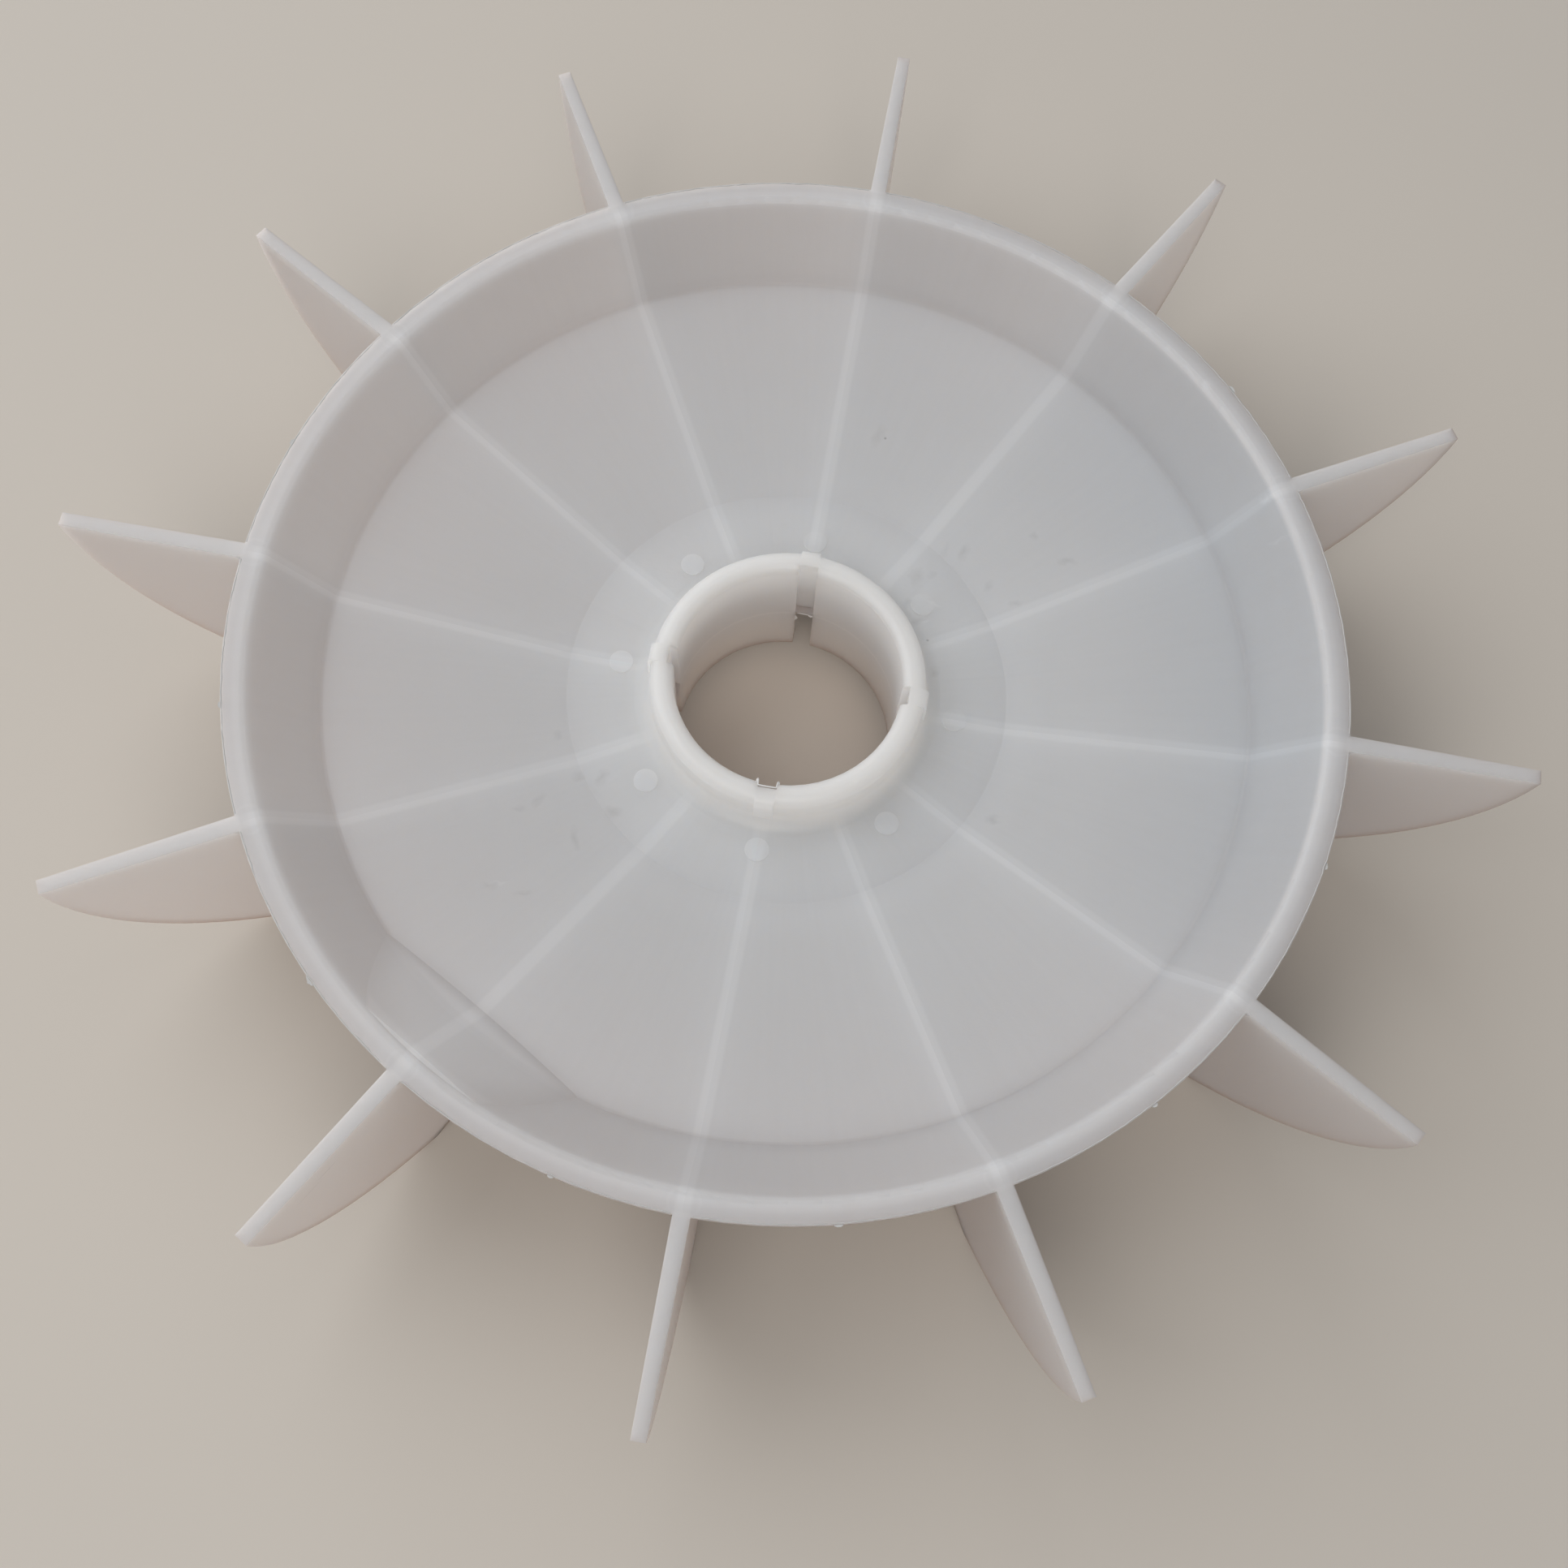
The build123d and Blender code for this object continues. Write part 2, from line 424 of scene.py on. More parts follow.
SPECKS = [(8.8, 49.9, 0.22, 0.22, 0, 1.0), (22.0, 13.7, 0.25, 0.2, 0, 0.8)]
print("marks:", len(DULL_MARKS), "dull,", len(PALE_MARKS), "pale,", len(SPECKS), "specks")

# %% [markdown]
# A Mapping node for each of thirty spots would be slow to render. Two dot products with the vector (x, y, 1)
# move, turn and stretch a flat spot in one step.
# %% The strongest of several flat spots
SPOT_CORE = 0.07


def strongest_mark(tree, place, table):
    """The strongest of the flat spots in a table at a place, from 0 to about 1."""
    flat_place = vector_calc(tree, "MULTIPLY_ADD", place, (1.0, 1.0, 0.0), (0.0, 0.0, 1.0))
    best = 0.0
    for x, y, half_length, half_width, turn, strength in table:
        cosine, sine = math.cos(math.radians(turn)), math.sin(math.radians(turn))
        along = (cosine / half_length, sine / half_length, -(x * cosine + y * sine) / half_length)
        across = (-sine / half_width, cosine / half_width, (x * sine - y * cosine) / half_width)
        u = vector_calc(tree, "DOT_PRODUCT", flat_place, along)
        v = vector_calc(tree, "DOT_PRODUCT", flat_place, across)
        squared = calc(tree, "MULTIPLY_ADD", u, u, calc(tree, "MULTIPLY_ADD", v, v, SPOT_CORE**2))
        away_from_middle = calc(tree, "SQRT", squared)
        mask = calc(tree, "MULTIPLY_ADD", away_from_middle, -strength, SPOT_REACH * strength)
        best = calc(tree, "MAXIMUM", best, mask)
    return best


print("flat spots:", len(DULL_MARKS) + len(PALE_MARKS) + len(SPECKS))

# %% [markdown]
# ## Moulded surface
#
# The mould was polished, then worn: the skin is satin, with a very fine grain and faint streaks that follow
# the melt outwards from the hub. One group gives a grain height for the bump and a slow shade for colour
# and gloss.
# %% Group: moulded skin
skin, skin_in, skin_out = shader_group(
    "moulded_skin",
    [("Place", VECTOR), ("Angle", FLOAT), ("Radius", FLOAT)],
    [("Grain", FLOAT), ("Cloud", FLOAT), ("Streak", FLOAT)],
)


def noise(tree, vector, scale, detail):
    """One Noise Texture node, the same in every run."""
    node = tree.nodes.new("ShaderNodeTexNoise")
    feed(tree, node.inputs["Vector"], vector)
    node.inputs["Scale"].default_value = scale
    node.inputs["Detail"].default_value = detail
    return node


GRAINS_PER_MM = 2.2
CLOUDS_PER_MM = 0.035
STREAKS_PER_RADIAN = 60.0
STREAK_BREAKS_PER_MM = 0.05
polar = skin.nodes.new("ShaderNodeCombineXYZ")
skin.links.new(product(skin, skin_in.outputs["Angle"], STREAKS_PER_RADIAN), polar.inputs[0])
skin.links.new(product(skin, skin_in.outputs["Radius"], STREAK_BREAKS_PER_MM), polar.inputs[1])
grain = noise(skin, skin_in.outputs["Place"], GRAINS_PER_MM, 1.0)
cloud = noise(skin, skin_in.outputs["Place"], CLOUDS_PER_MM, 1.0)
streak = noise(skin, polar.outputs[0], 1.0, 0.0)
for pattern, label in ((grain, "Grain"), (cloud, "Cloud"), (streak, "Streak")):
    skin.links.new(pattern.outputs["Fac"], skin_out.inputs[label])
print("skin group:", len(skin.nodes), "nodes")

# %% [markdown]
# ## Milky polypropylene
#
# Unfilled polypropylene is neither white nor clear. Light goes in, scatters on its crystals and comes out a
# few millimetres away, which softens every edge. Where the wall is thin, light is lost through it and the
# plastic looks grey; the thick hub looks creamy. The colour therefore follows the thickness: a ramp over
# the radius gives hub, floor, wall, rim and blades their tone, and the lines, pads and marks change it a
# little.
# %% Plastic: tones by radius
TONES = [
    (0.0, (0.785, 0.770, 0.748)),
    (22.6, (0.785, 0.770, 0.748)),
    (23.2, (0.895, 0.872, 0.840)),
    (25.0, (0.865, 0.843, 0.810)),
    (27.5, (0.785, 0.762, 0.740)),
    (33.0, (0.757, 0.738, 0.724)),
    (37.1, (0.722, 0.706, 0.698)),
    (45.0, (0.686, 0.674, 0.668)),
    (60.0, (0.655, 0.645, 0.643)),
    (75.6, (0.635, 0.628, 0.632)),
    (77.0, (0.543, 0.540, 0.546)),
    (84.6, (0.543, 0.540, 0.546)),
    (85.6, (0.635, 0.640, 0.650)),
    (89.0, (0.635, 0.640, 0.650)),
    (92.0, (0.580, 0.592, 0.605)),
    (119.0, (0.580, 0.592, 0.605)),
]
BLADE_TONE = (0.815, 0.809, 0.804, 1)
plastic = bpy.data.materials.new("milky_polypropylene")
plastic.use_nodes = True
tree = plastic.node_tree
plastic_shader = tree.nodes["Principled BSDF"]
here = place_group(tree, places).outputs
tone = tree.nodes.new("ShaderNodeValToRGB")
while len(tone.color_ramp.elements) < len(TONES):
    tone.color_ramp.elements.new(0.5)
for stop, (stop_radius, stop_colour) in zip(tone.color_ramp.elements, TONES):
    stop.position = stop_radius / (TIP_RADIUS / MM)
    stop.color = (*stop_colour, 1)
tree.links.new(calc(tree, "DIVIDE", here["Radius"], TIP_RADIUS / MM), tone.inputs["Fac"])
print("tones:", len(TONES), "from the hub out to the tips")

# %% [markdown]
# The ramp is right on top of the dish. The blades and everything under the dish take one blade tone, chosen
# by height, except the hub and its collar.
# %% Plastic: blades and underside
under_starts = ramp(tree, here["Radius"], 89.0, 90.0, -0.8, -0.05)
under_ends = ramp(tree, here["Radius"], 89.0, 90.0, -1.8, -0.35)
under_dish = ramp(tree, here["Above Dish"], under_starts, under_ends)
under = product(tree, under_dish, ramp(tree, here["Radius"], 23.2, 24.5))
lower_tone = mix_colour(tree, under, tone.outputs["Color"], BLADE_TONE)
print("blade tone:", BLADE_TONE[:3])

# %% Plastic: where the top of the dish is
on_dish = product(tree, ramp(tree, here["Above Dish"], -1.0, -0.3), ramp(tree, here["Radius"], 89.5, 88.5))
on_floor = product(tree, on_dish, ramp(tree, here["Radius"], 22.9, 24.4))


def towards(direction):
    """1 on the side of the fan that lies in a direction in radians, and -1 on the side across from it."""
    return calc(tree, "COSINE", calc(tree, "SUBTRACT", here["Angle"], direction))


print("with the masks of the dish:", len(tree.nodes), "nodes")

# %% Plastic: pads, and rings given by radius, half width and softness in mm
PADS_PALER_SIDE = math.radians(225)
RINGS = {
    # painted shade: a dark line in the crease where the floor meets the wall
    "foot crease shade": (76.2, 0.15, 0.5),
    "flat line": (37.1, 0.1, 0.35),
    # painted shadow on the rim top just inside the flash lip
    "rim dip shadow": (87.9, 0.25, 0.9),
    "rim line": (85.9, 0.08, 0.25),
}
ring = {name: product(tree, band(tree, here["Radius"], *place), on_dish) for name, place in RINGS.items()}
# painted highlight: the rim's outer edge is paler where the flash lip catches the light
rim_edge_highlight = product(tree, ramp(tree, here["Radius"], 88.2, 88.7), on_dish)
pads = product(tree, ramp(tree, here["Above Dish"], 0.08, 0.16), band(tree, here["Radius"], 28.5, 2.0, 0.2))
# the pads are drawn paler towards one side
pads = product(tree, pads, ramp(tree, towards(PADS_PALER_SIDE), -0.6, -0.2, 0.15, 1.0))
on_wall = band(tree, here["Radius"], 79.0, 7.0, 0.5)
weight_pad = product(tree, ramp(tree, here["Above Dish"], 0.02, 1.6), on_wall)
# painted light: a pale band on the pad's ledge lifts the shade of the crease there
on_ledge = band(tree, here["Radius"], 84.8, 0.8, 0.8)
pad_crease_light = product(tree, ramp(tree, here["Above Dish"], 0.02, 0.15), on_ledge)
print("rings:", len(RINGS))

# %% Plastic: round rings of ejector pins, where the blades meet the rim
PIN_CIRCLE = 87.2
PIN_RING = (2.3, 0.08, 0.3)
along_rim = calc(tree, "SUBTRACT", here["Radius"], PIN_CIRCLE)
across_rim = here["Beside Blade"]
pin_reach = calc(tree, "ADD", product(tree, along_rim, along_rim), product(tree, across_rim, across_rim))
pin_rings = product(tree, band(tree, calc(tree, "SQRT", pin_reach), *PIN_RING), on_dish)
print("pin rings, mm across:", 2 * PIN_RING[0])

# %% Plastic: lines and glow over the blades, and the moulded skin
over_blade = place_group(
    tree,
    lines,
    Radius=here["Radius"],
    Angle=here["Angle"],
    Beside_Blade=here["Beside Blade"],
    Above_Dish=here["Above Dish"],
).outputs
surface_skin = place_group(
    tree,
    skin,
    Place=here["Place"],
    Angle=here["Angle"],
    Radius=here["Radius"],
).outputs
print("skin gives:", [socket.name for socket in surface_skin])

# %% Plastic: marks, with their outlines nudged about by a noise
NUDGE = 1.1
NUDGES_PER_MM = 0.9
uneven = noise(tree, here["Place"], NUDGES_PER_MM, 0.0)
nudged = vector_calc(tree, "MULTIPLY_ADD", uneven.outputs["Color"], (NUDGE, NUDGE, 0.0), here["Place"])
centred = vector_calc(tree, "SUBTRACT", nudged, (NUDGE / 2, NUDGE / 2, 0.0))
dull = product(tree, strongest_mark(tree, centred, DULL_MARKS), on_floor)
pale = product(tree, strongest_mark(tree, centred, PALE_MARKS), on_floor)
speck = product(tree, strongest_mark(tree, here["Place"], SPECKS), on_floor)
print("plastic so far:", len(tree.nodes), "nodes")

# %% Plastic: a scuff on the face of one blade; centre, half length and half width in mm, and strength
SCUFFED_BLADE = math.radians(240)
SCUFF_DEPTH = 0.8
SCUFFS = [((-51.4, -91.5, 40.6), 1.9, 0.10, 0.9), ((-53.4, -94.9, 39.4), 2.6, 0.16, 0.35)]
scuff = 0.0
for scuff_centre, scuff_length, scuff_width, scuff_strength in SCUFFS:
    one_scuff = place_group(
        tree,
        spot,
        Place=here["Place"],
        Centre=scuff_centre,
        Turn=(0.0, 0.0, SCUFFED_BLADE),
        Half_Size=(scuff_length, SCUFF_DEPTH, scuff_width),
        Strength=scuff_strength,
    )
    scuff = calc(tree, "MAXIMUM", scuff, one_scuff.outputs["Mask"])
print("scuffs:", len(SCUFFS))

# %% Plastic: the bore is creamier, partly the thick hub's own tone and partly painted light that lifts the shade inside it, and warmer towards its lower end, painted warm light bounced up from below
BORE_WARM_BOUNCE_TONE = (0.950, 0.825, 0.735, 1)
BORE_LIFTED_TONE = (0.950, 0.922, 0.900, 1)
inside_bore = product(tree, ramp(tree, here["Radius"], 20.5, 20.2), ramp(tree, here["Height"], 33.6, 32.0))
bore_line = product(tree, band(tree, here["Height"], COLLAR_TOP / MM, 0.15, 0.35), inside_bore)
bore_painted_light = mix_colour(tree, ramp(tree, here["Height"], 8.0, 28.0), BORE_WARM_BOUNCE_TONE, BORE_LIFTED_TONE)
bore_tone = mix_colour(tree, inside_bore, lower_tone, bore_painted_light)
print("bore tones:", BORE_WARM_BOUNCE_TONE[:3], BORE_LIFTED_TONE[:3])

# %% Plastic: painted shade, cool and darker, on one side of the dish, painted light on the wall across from it, and painted shadow on one side of the floor
COOL_SHADE_SIDE = math.radians(15)
COOL_SHADE_TINT = (0.85, 0.90, 0.935, 1)
FLOOR_SHADOW_SIDE = math.radians(-40)
toward_cool_shade = towards(COOL_SHADE_SIDE)
inside_rim = ramp(tree, here["Radius"], 85.2, 84.6)
on_side = product(tree, ramp(tree, here["Radius"], 45.0, 80.0), inside_rim, on_floor)
cool_shade = product(tree, ramp(tree, toward_cool_shade, 0.55, 0.98), on_side)
past_foot = ramp(tree, here["Radius"], 75.8, 77.0)
wall_light_side = product(tree, ramp(tree, toward_cool_shade, -0.3, -0.9), on_side, past_foot)
floor_ring = product(tree, ramp(tree, here["Radius"], 37.3, 45.0), ramp(tree, here["Radius"], 76.5, 75.0))
floor_shadow = product(tree, ramp(tree, towards(FLOOR_SHADOW_SIDE), 0.0, 0.8), floor_ring)
shaded_side = mix_colour(tree, cool_shade, bore_tone, COOL_SHADE_TINT, "MULTIPLY")
print("cool shade tint:", COOL_SHADE_TINT[:3])

# %% Plastic: add up what lightens or darkens it, as parts of one
cloud_share = calc(tree, "SUBTRACT", surface_skin["Cloud"], 0.5)
streak_share = product(tree, calc(tree, "SUBTRACT", surface_skin["Streak"], 0.5), on_floor)
# Painted light and shade among these: the blade glow, the pale pad ledge line, the lit wall, the floor
# shadow, the dark crease line at the foot, the rim's shadow dip and the rim's edge highlight.
CHANGES = [
    (over_blade["Line"], 0.075),
    (over_blade["Glow"], 0.080),
    (pads, 0.130),
    (weight_pad, 0.130),
    (pad_crease_light, 0.050),
    (floor_shadow, -0.045),
    (wall_light_side, 0.060),
    (ring["foot crease shade"], -0.020),
    (ring["flat line"], 0.008),
    (ring["rim dip shadow"], -0.045),
    (rim_edge_highlight, 0.020),
    (ring["rim line"], -0.020),
    (pin_rings, 0.025),
    (bore_line, 0.050),
    (scuff, -0.300),
    (dull, -0.120),
    (pale, 0.100),
    (speck, -0.450),
    (cloud_share, 0.030),
    (streak_share, 0.020),
]
factor = 1.0
for mask, share in CHANGES:
    factor = calc(tree, "MULTIPLY_ADD", mask, share, factor)
final_tone = vector_calc(tree, "SCALE", shaded_side, scale=factor)
tree.links.new(final_tone, plastic_shader.inputs["Base Color"])
print("changes of tone:", len(CHANGES))

# %% Plastic: gloss, bump and scattering
GLOSS_ROUGHNESS = 0.36
CLOUD_ROUGHNESS = 0.12
DULL_ROUGHNESS = 0.15
GRAIN_HEIGHT = 0.02 * MM
GRAIN_STRENGTH = 0.5
PLASTIC_IOR = 1.49
SCATTER_COLOUR = (1.0, 0.9, 0.8)
SCATTER_REACH = 14 * MM
satin = calc(tree, "ADD", product(tree, surface_skin["Cloud"], CLOUD_ROUGHNESS), GLOSS_ROUGHNESS)
roughness = calc(tree, "ADD", satin, product(tree, dull, DULL_ROUGHNESS))
tree.links.new(roughness, plastic_shader.inputs["Roughness"])
bump = tree.nodes.new("ShaderNodeBump")
bump.inputs["Distance"].default_value = GRAIN_HEIGHT
bump.inputs["Strength"].default_value = GRAIN_STRENGTH
tree.links.new(surface_skin["Grain"], bump.inputs["Height"])
tree.links.new(bump.outputs["Normal"], plastic_shader.inputs["Normal"])
plastic_shader.subsurface_method = "RANDOM_WALK"
plastic_shader.inputs["IOR"].default_value = PLASTIC_IOR
plastic_shader.inputs["Subsurface Weight"].default_value = 1.0
plastic_shader.inputs["Subsurface Radius"].default_value = SCATTER_COLOUR
plastic_shader.inputs["Subsurface Scale"].default_value = SCATTER_REACH
for each_slot in impeller.material_slots:
    each_slot.material = plastic
print("slots on the moulding:", len(impeller.material_slots))

# %% [markdown]
# ## Flash
#
# Where two halves of a mould meet, a little plastic creeps between them and is left as a thin ragged lip.
# This fan has it along the outer edge of its rim, and round the openings in its hub. A lip follows a path,
# so each one starts as a curve, and one Geometry Nodes tree turns any curve into a lip: it spaces points
# along the curve, pushes them about with seeded noise, makes the lip thinner here and there, and sweeps a
# small round section along it.
# %% Flash: its plastic
FLASH_TONE_LOW = (0.74, 0.74, 0.735, 1)
FLASH_TONE_HIGH = (0.86, 0.86, 0.855, 1)
FLASH_ON_RIM = 0.70
FLASH_ROUGHNESS = 0.3
FLASH_GRAIN_ROUGHNESS = 0.2
flash_plastic = bpy.data.materials.new("thin_polypropylene")
flash_plastic.use_nodes = True
flash_tree = flash_plastic.node_tree
flash_shader = flash_tree.nodes["Principled BSDF"]
flash_here = place_group(flash_tree, places).outputs
flash_skin = place_group(
    flash_tree,
    skin,
    Place=flash_here["Place"],
    Angle=flash_here["Angle"],
    Radius=flash_here["Radius"],
).outputs
flash_tone = mix_colour(flash_tree, flash_skin["Grain"], FLASH_TONE_LOW, FLASH_TONE_HIGH)
rim_share = ramp(flash_tree, flash_here["Radius"], 30.0, 80.0, 1.0, FLASH_ON_RIM)
dimmed = vector_calc(flash_tree, "SCALE", flash_tone, scale=rim_share)
flash_tree.links.new(dimmed, flash_shader.inputs["Base Color"])
uneven_gloss = product(flash_tree, flash_skin["Grain"], FLASH_GRAIN_ROUGHNESS)
flash_roughness = calc(flash_tree, "ADD", uneven_gloss, FLASH_ROUGHNESS)
flash_tree.links.new(flash_roughness, flash_shader.inputs["Roughness"])
flash_shader.inputs["IOR"].default_value = PLASTIC_IOR
print("flash plastic:", len(flash_tree.nodes), "nodes")

# %% Flash: the Geometry Nodes tree
LIP_DETAIL = 1.5
LIP_SIDES = 6
lip_tree = bpy.data.node_groups.new("ragged_lip", "GeometryNodeTree")
lip_tree.interface.new_socket("Path", in_out="INPUT", socket_type="NodeSocketGeometry")
lip_sockets = {}
for label in ("Spacing", "Thickness", "Raggedness", "Feature Size", "Seed"):
    lip_sockets[label] = lip_tree.interface.new_socket(label, in_out="INPUT", socket_type=FLOAT).identifier
lip_tree.interface.new_socket("Lip", in_out="OUTPUT", socket_type="NodeSocketGeometry")
lip_in = lip_tree.nodes.new("NodeGroupInput")
lip_out = lip_tree.nodes.new("NodeGroupOutput")
spaced = lip_tree.nodes.new("GeometryNodeResampleCurve")
spaced.mode = "LENGTH"
lip_tree.links.new(lip_in.outputs["Path"], spaced.inputs["Curve"])
lip_tree.links.new(lip_in.outputs["Spacing"], spaced.inputs["Length"])
spot_of = lip_tree.nodes.new("GeometryNodeInputPosition").outputs[0]
wobble = lip_tree.nodes.new("ShaderNodeTexNoise")
wobble.noise_dimensions = "4D"
wobble.inputs["Detail"].default_value = LIP_DETAIL
lip_tree.links.new(spot_of, wobble.inputs["Vector"])
lip_tree.links.new(lip_in.outputs["Seed"], wobble.inputs["W"])
lip_tree.links.new(calc(lip_tree, "DIVIDE", 1.0, lip_in.outputs["Feature Size"]), wobble.inputs["Scale"])
centred_wobble = vector_calc(lip_tree, "SUBTRACT", wobble.outputs["Color"], (0.5, 0.5, 0.5))
push = vector_calc(lip_tree, "SCALE", centred_wobble, scale=lip_in.outputs["Raggedness"])
moved = lip_tree.nodes.new("GeometryNodeSetPosition")
lip_tree.links.new(spaced.outputs["Curve"], moved.inputs["Geometry"])
lip_tree.links.new(push, moved.inputs["Offset"])
thinned = lip_tree.nodes.new("GeometryNodeSetCurveRadius")
lip_tree.links.new(moved.outputs["Geometry"], thinned.inputs["Curve"])
lip_tree.links.new(ramp(lip_tree, wobble.outputs["Fac"], 0.38, 0.60, 0.35, 1.0), thinned.inputs["Radius"])
section = lip_tree.nodes.new("GeometryNodeCurvePrimitiveCircle")
section.inputs["Resolution"].default_value = LIP_SIDES
lip_tree.links.new(lip_in.outputs["Thickness"], section.inputs["Radius"])
swept = lip_tree.nodes.new("GeometryNodeCurveToMesh")
swept.inputs["Fill Caps"].default_value = True
lip_tree.links.new(thinned.outputs["Curve"], swept.inputs["Curve"])
lip_tree.links.new(section.outputs["Curve"], swept.inputs["Profile Curve"])
real = lip_tree.nodes.new("GeometryNodeRealizeInstances")
lip_tree.links.new(swept.outputs["Mesh"], real.inputs["Geometry"])
painted = lip_tree.nodes.new("GeometryNodeSetMaterial")
painted.inputs["Material"].default_value = flash_plastic
lip_tree.links.new(real.outputs["Geometry"], painted.inputs["Geometry"])
lip_tree.links.new(painted.outputs["Geometry"], lip_out.inputs["Lip"])
print("lip tree:", len(lip_tree.nodes), "nodes")


# %% Flash: from paths to a finished piece
def ride_on_fan(piece):
    """A new piece goes with the one body."""
    bpy.context.scene.collection.objects.link(piece)
    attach(piece, "root")


def ragged_lip(name, paths, **sizes):
    """A piece of flash along some paths, each a list of points in metres."""
    curve = bpy.data.curves.new(name + "_path", "CURVE")
    curve.dimensions = "3D"
    for path in paths:
        line = curve.splines.new("POLY")
        line.points.add(len(path) - 1)
        for point, place in zip(line.points, path):
            point.co = (*place, 1.0)
    guide = bpy.data.objects.new(name + "_path", curve)
    bpy.context.scene.collection.objects.link(guide)
    maker = guide.modifiers.new("lip", "NODES")
    maker.node_group = lip_tree
    for label, value in sizes.items():
        maker[lip_sockets[label.replace("_", " ")]] = value
    bpy.context.view_layer.update()
    evaluated = guide.evaluated_get(bpy.context.evaluated_depsgraph_get())
    mesh = bpy.data.meshes.new_from_object(evaluated)
    guide.modifiers.remove(maker)
    bpy.data.objects.remove(guide)
    mesh.name = name
    mesh.shade_smooth()
    piece = bpy.data.objects.new(name, mesh)
    ride_on_fan(piece)
    print(name, "faces:", len(mesh.polygons))


# %% [markdown]
# The rim's lip runs in twelve arcs, because the blades interrupt it. It lies just inside the rim's outer
# corner and hardly stands proud of it, which is enough to catch the light as a fine broken line.
# %% Flash: rim
LIP_RADIUS = RIM_RADIUS - 0.18 * MM
LIP_STEP = math.radians(1.0)
BLADE_HALF_ANGLE = math.radians(1.0)
LIP_HEIGHT = RIM_TOP - 0.02 * MM
arcs = []
for blade in range(BLADE_COUNT):
    start = blade * sector + BLADE_HALF_ANGLE
    end = (blade + 1) * sector - BLADE_HALF_ANGLE
    steps = round((end - start) / LIP_STEP)
    turns = [start + (end - start) * step / steps for step in range(steps + 1)]
    arcs.append([(LIP_RADIUS * math.cos(turn), LIP_RADIUS * math.sin(turn), LIP_HEIGHT) for turn in turns])
ragged_lip(
    "rim_flash",
    arcs,
    Spacing=0.35 * MM,
    Thickness=0.10 * MM,
    Raggedness=0.34 * MM,
    Feature_Size=1.6 * MM,
    Seed=3.0,
)

# %% Flash: hub openings
HALF_GROOVE = GROOVE_WIDTH / 2
GROOVE_FLOOR = BORE_RADIUS + GROOVE_DEPTH
slit_path = [
    (-HALF_GROOVE, BORE_RADIUS + 0.05 * MM, COLLAR_TOP + 0.10 * MM),
    (-0.5 * MM, BORE_RADIUS + 0.05 * MM, COLLAR_TOP + 0.02 * MM),
    (0.6 * MM, BORE_RADIUS + 0.05 * MM, COLLAR_TOP - 0.08 * MM),
    (HALF_GROOVE, BORE_RADIUS + 0.02 * MM, COLLAR_TOP - 0.20 * MM),
]
notch_path = [
    (-HALF_GROOVE - 0.05 * MM, -BORE_RADIUS - 0.05 * MM, HUB_TOP - 0.75 * MM),
    (-HALF_GROOVE - 0.02 * MM, -BORE_RADIUS + 0.18 * MM, HUB_TOP - 0.30 * MM),
    (-HALF_GROOVE + 0.10 * MM, -GROOVE_FLOOR + 0.30 * MM, HUB_TOP - 0.12 * MM),
    (-0.6 * MM, -GROOVE_FLOOR + 0.22 * MM, HUB_TOP + 0.02 * MM),
    (0.5 * MM, -GROOVE_FLOOR + 0.20 * MM, HUB_TOP + 0.02 * MM),
    (HALF_GROOVE - 0.10 * MM, -GROOVE_FLOOR + 0.28 * MM, HUB_TOP - 0.10 * MM),
    (HALF_GROOVE + 0.02 * MM, -BORE_RADIUS + 0.16 * MM, HUB_TOP - 0.32 * MM),
    (HALF_GROOVE + 0.05 * MM, -BORE_RADIUS - 0.05 * MM, HUB_TOP - 0.75 * MM),
]
ragged_lip(
    "hub_flash",
    [slit_path, notch_path],
    Spacing=0.12 * MM,
    Thickness=0.13 * MM,
    Raggedness=0.16 * MM,
    Feature_Size=0.6 * MM,
    Seed=5.0,
)

# %% [markdown]
# Here and there the lip has torn into a burr: a flat flake with an uneven outline that stands off the edge.
# A burr is a fan of triangles round its root with its rim pulled about by seeded noise, then given a
# thickness.
# %% Flash: burrs
BURR_POINTS = 14


def burr(shape, root, along, out, length, reach, thick, seed):
    """One flake in a bmesh: half an uneven ellipse on the line along, standing off it towards out."""
    lift = along.cross(out).normalized() * thick / 2
    edge = []
    for step in range(BURR_POINTS):
        turn = math.pi * step / (BURR_POINTS - 1)
        ragged = 1.0 + 0.5 * value_noise.noise(Vector((3.0 * math.cos(turn), 3.0 * math.sin(turn), seed)))
        edge.append(root + along * length / 2 * math.cos(turn) + out * reach * ragged * math.sin(turn))
    upper = [shape.verts.new(p + lift) for p in edge]
    lower = [shape.verts.new(p - lift) for p in edge]
    shape.faces.new(upper)
    shape.faces.new(lower[::-1])
    for here_step in range(BURR_POINTS):
        after = (here_step + 1) % BURR_POINTS
        shape.faces.new((upper[after], upper[here_step], lower[here_step], lower[after]))


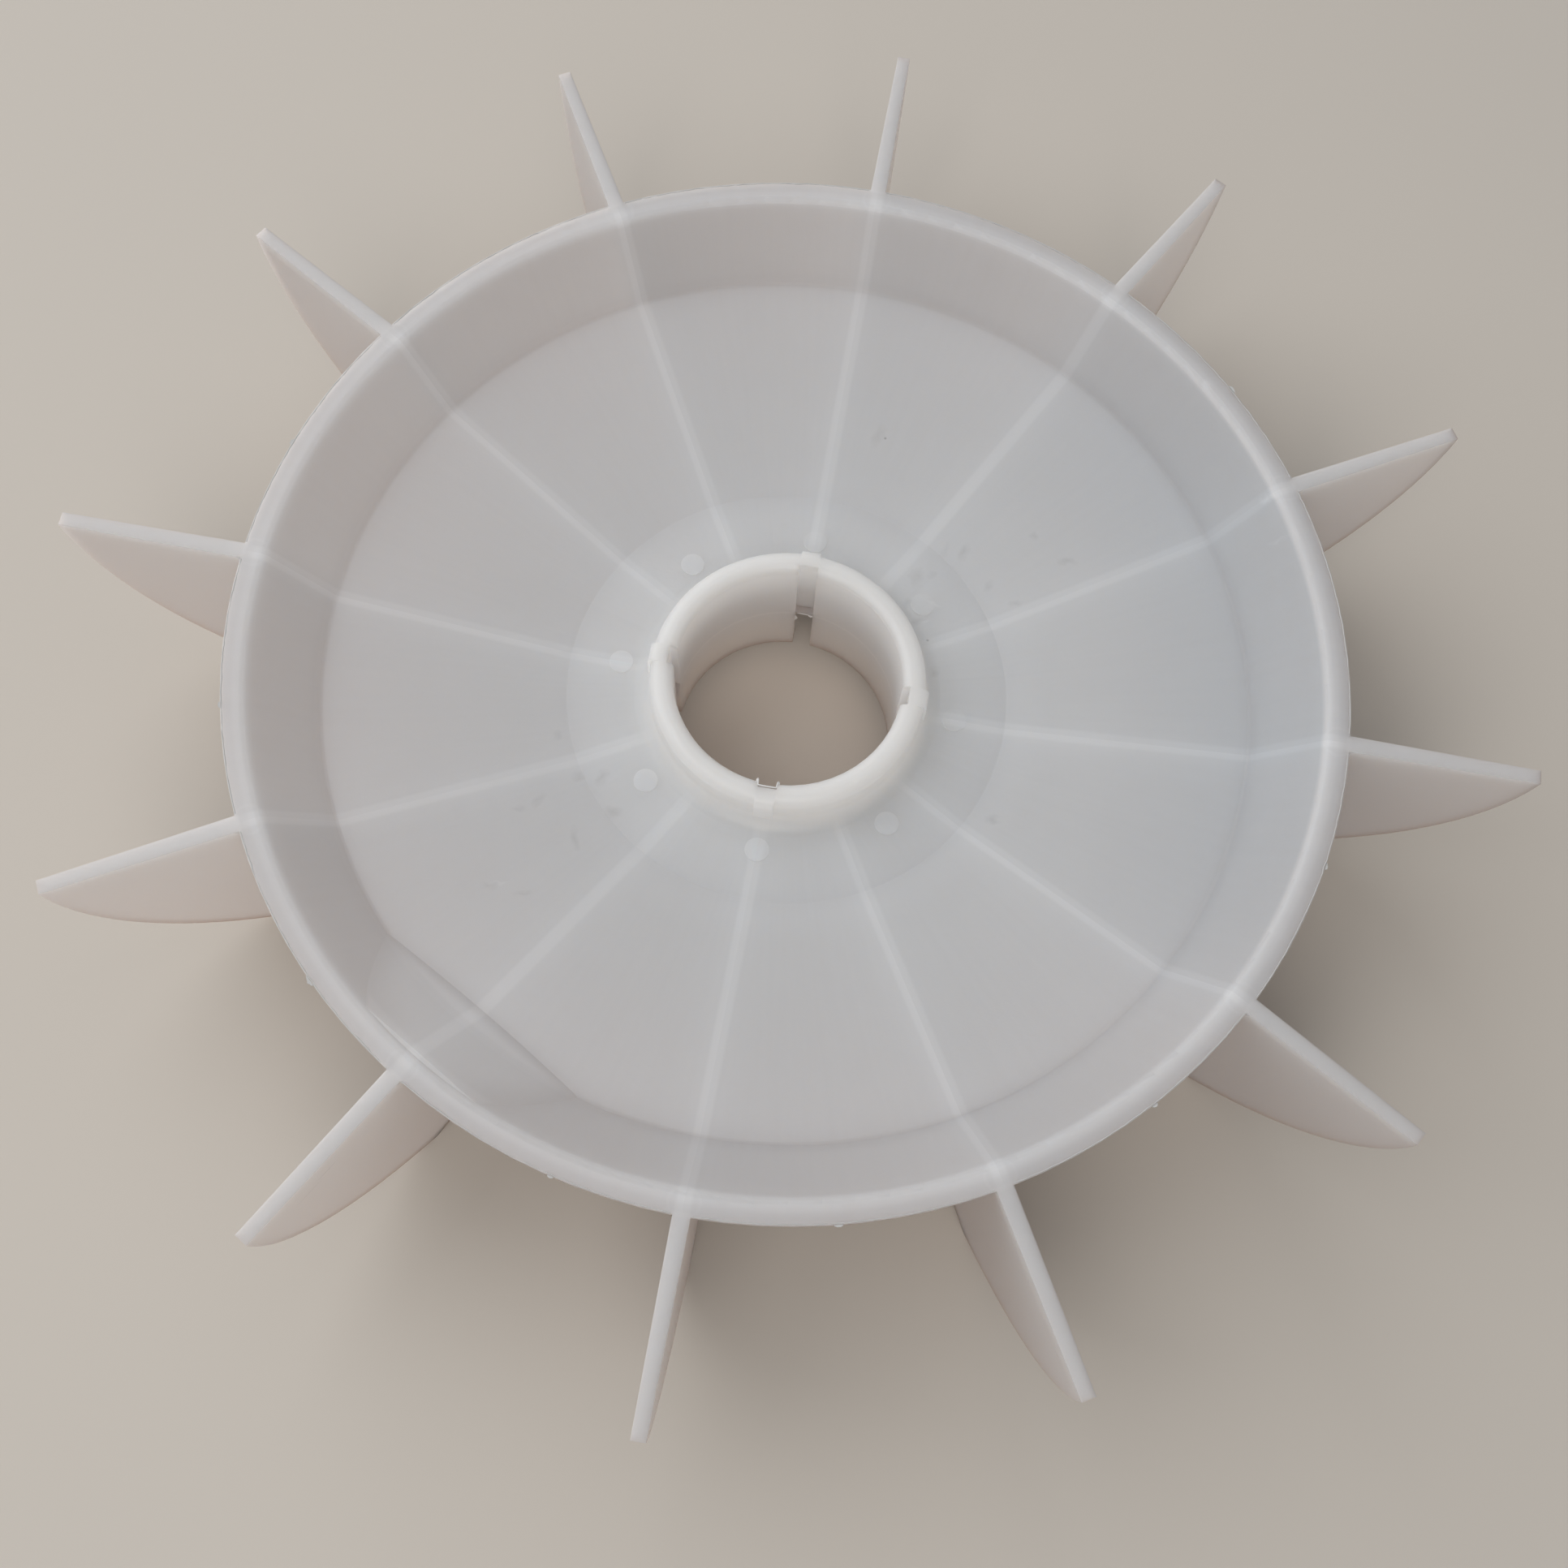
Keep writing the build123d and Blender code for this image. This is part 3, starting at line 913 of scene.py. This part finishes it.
RIM_BURRS = [
    (43.0, 1.6, 0.50),
    (-13.5, 1.2, 0.40),
    (-43.7, 1.0, 0.45),
    (-75.7, 1.4, 0.40),
    (-102.5, 1.0, 0.35),
    (-132.3, 1.8, 0.45),
    (-162.8, 1.1, 0.35),
    (166.6, 1.2, 0.40),
]
burr_shape = bmesh.new()
for number, (degrees, length, reach_out) in enumerate(RIM_BURRS):
    turn = math.radians(degrees)
    outward = Vector((math.cos(turn), math.sin(turn), 0.12)).normalized()
    sideways = Vector((-math.sin(turn), math.cos(turn), 0.0))
    burr_root = Vector((math.cos(turn), math.sin(turn), 0.0)) * (RIM_RADIUS - 0.05 * MM)
    burr_root.z = RIM_TOP - 0.15 * MM
    burr(burr_shape, burr_root, sideways, outward, length * MM, reach_out * MM, 0.12 * MM, number)
slit_side = Vector((-HALF_GROOVE, BORE_RADIUS + 0.1 * MM, COLLAR_TOP - 2.2 * MM))
burr(burr_shape, slit_side, Vector((0, 0, 1)), Vector((1, 0, 0)), 1.5 * MM, 0.45 * MM, 0.15 * MM, 21)
slit_end = Vector((HALF_GROOVE - 0.35 * MM, BORE_RADIUS + 0.05 * MM, COLLAR_TOP - 0.05 * MM))
burr(burr_shape, slit_end, Vector((1, 0, 0)), Vector((0, -0.2, -1)), 0.9 * MM, 0.55 * MM, 0.25 * MM, 22)
across_notch = Vector((1, 0, 0))
into_notch = Vector((0, 1, 0.6))
for side in (-1, 1):
    corner = Vector((side * (HALF_GROOVE + 0.10 * MM), -BORE_RADIUS - 0.05 * MM, HUB_TOP - 0.85 * MM))
    burr(burr_shape, corner, across_notch, into_notch, 0.5 * MM, 0.50 * MM, 0.25 * MM, 30 + side)
bmesh.ops.recalc_face_normals(burr_shape, faces=burr_shape.faces)
burr_mesh = bpy.data.meshes.new("burrs")
burr_shape.to_mesh(burr_mesh)
burr_shape.free()
burr_mesh.materials.append(flash_plastic)
burrs = bpy.data.objects.new("burrs", burr_mesh)
ride_on_fan(burrs)
print("burrs:", len(burr_mesh.polygons), "faces")

bpy.context.scene.view_settings.view_transform = "Standard"
